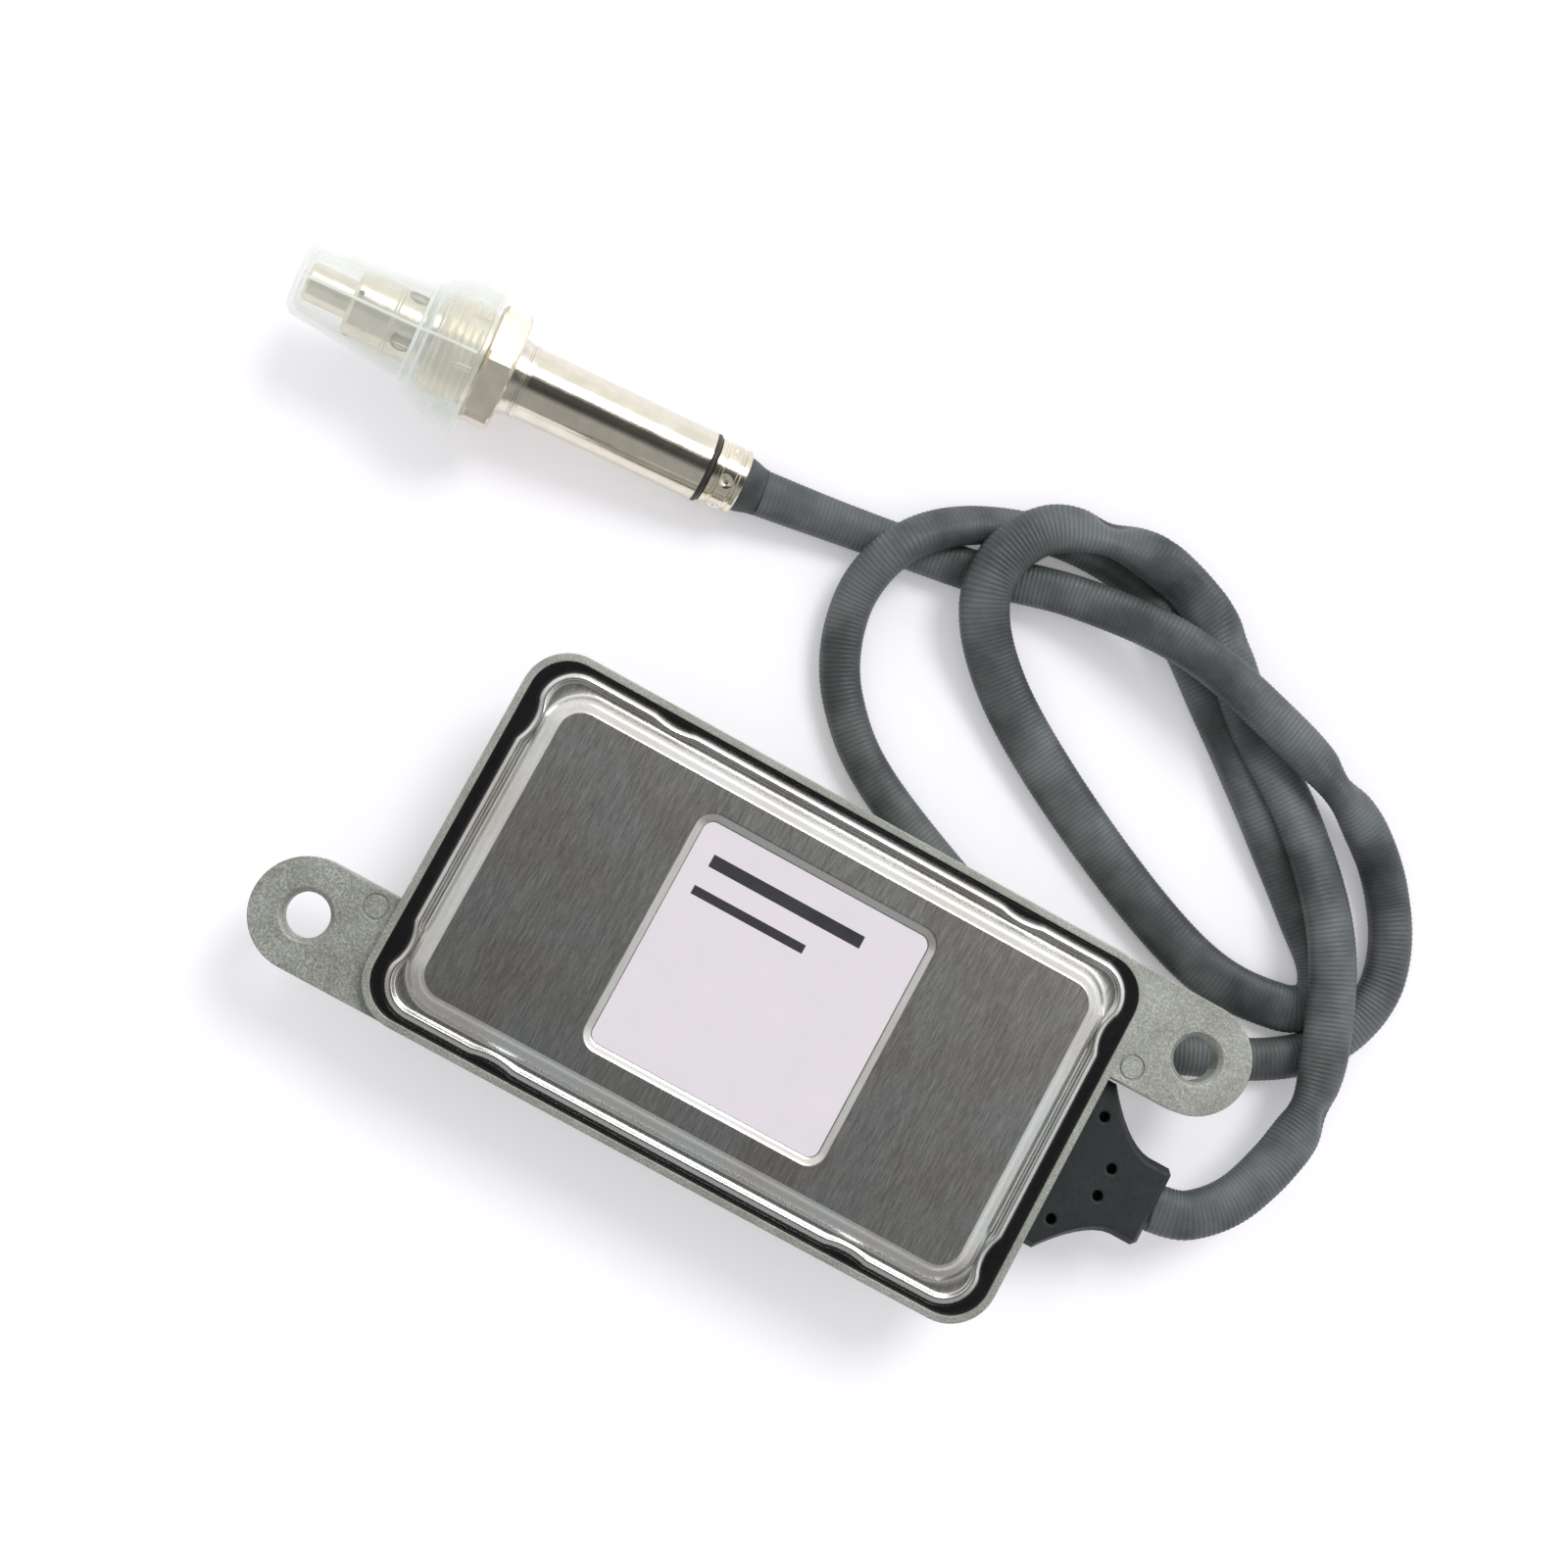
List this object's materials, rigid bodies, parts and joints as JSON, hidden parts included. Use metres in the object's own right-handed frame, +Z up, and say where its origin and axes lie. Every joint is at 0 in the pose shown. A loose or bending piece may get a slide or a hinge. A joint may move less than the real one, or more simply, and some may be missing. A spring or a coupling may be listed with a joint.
{
  "type": "exhaust gas sensor with control module",
  "caption": "Nitrogen oxide sensor: sealed control module with lugs, screw-in probe under a push-on cap, and the flat sleeved cable that joins them.",
  "frame": {"origin": "centre of the control module in plan, on its base face, which rests on the table", "axes": "+X along the module towards the cable boot, +Y across it towards the probe, +Z up"},
  "size_m": [0.2509, 0.1496, 0.0293],
  "materials": {
    "cast_housing": "as cast, speckled grey",
    "lid_sheet": "deep-drawn sheet, fine brushed grain",
    "sealant": "glossy black sealing compound",
    "label_foil": "pale lilac glossy foil",
    "board_laminate": "coated board",
    "chip_package": "moulded package",
    "capacitor_can": "plain can",
    "coil_winding": "lacquered winding on a core",
    "plated_can": "plated",
    "black_plastic": "glass-filled, matt",
    "contact_metal": "plated",
    "gasket_rubber": "silicone",
    "boot_rubber": "moulded charcoal rubber, worn lighter on its bevels",
    "sleeve_braid": "ribbed, matt grey-green",
    "nut_steel": "turned, warm reflections",
    "cap_plastic": "milky see-through moulding",
    "probe_steel": "turned and welded stainless steel",
    "shield_steel": "drawn heat-resistant steel",
    "white_ceramic": "sintered",
    "pressed_talc": "pressed powder",
    "polished_steel": "polished stainless tube",
    "grommet_rubber": "moulded",
    "wire_cover": "fluoropolymer cover"
  },
  "bodies": {
    "module": {"housing": "cast_housing", "lid": "lid_sheet", "sealant_bead": "sealant", "label": "label_foil", "circuit_board": "board_laminate", "microcontroller": "chip_package", "driver_chips": "chip_package", "capacitors": "capacitor_can", "filter_coil": "coil_winding", "clock_crystal": "plated_can", "board_screws": "plated_can", "vehicle_socket": "black_plastic", "socket_pins": "contact_metal", "socket_gasket": "gasket_rubber", "cable_boot": "boot_rubber", "boot_contacts": "contact_metal", "cable_sleeve": "sleeve_braid", "sleeve_collar": "sleeve_braid", "probe_body": "probe_steel", "outer_shield": "shield_steel", "inner_shield": "shield_steel", "sensing_element": "white_ceramic", "front_insulator": "white_ceramic", "talc_seal": "pressed_talc", "rear_insulator": "white_ceramic", "contact_holder": "white_ceramic", "contact_springs": "contact_metal", "rear_sleeve": "polished_steel", "crimp_bush": "shield_steel", "cable_grommet": "grommet_rubber", "lead_wires": "wire_cover"},
    "nut": {"union_nut": "nut_steel"},
    "cap": {"protective_cap": "cap_plastic"}
  },
  "joints": [
    {"name": "nut_turn", "type": "hinge", "parent": "module", "child": "nut", "pos_m": [-0.1002, 0.0773, 0.01432], "axis": [-0.9851, -0.0966, 0.1426], "continuous": true},
    {"name": "cap_slide", "type": "slide", "parent": "module", "child": "cap", "axis": [-0.9851, -0.0966, 0.1426], "range_m": [0, 0.045]}
  ]
}
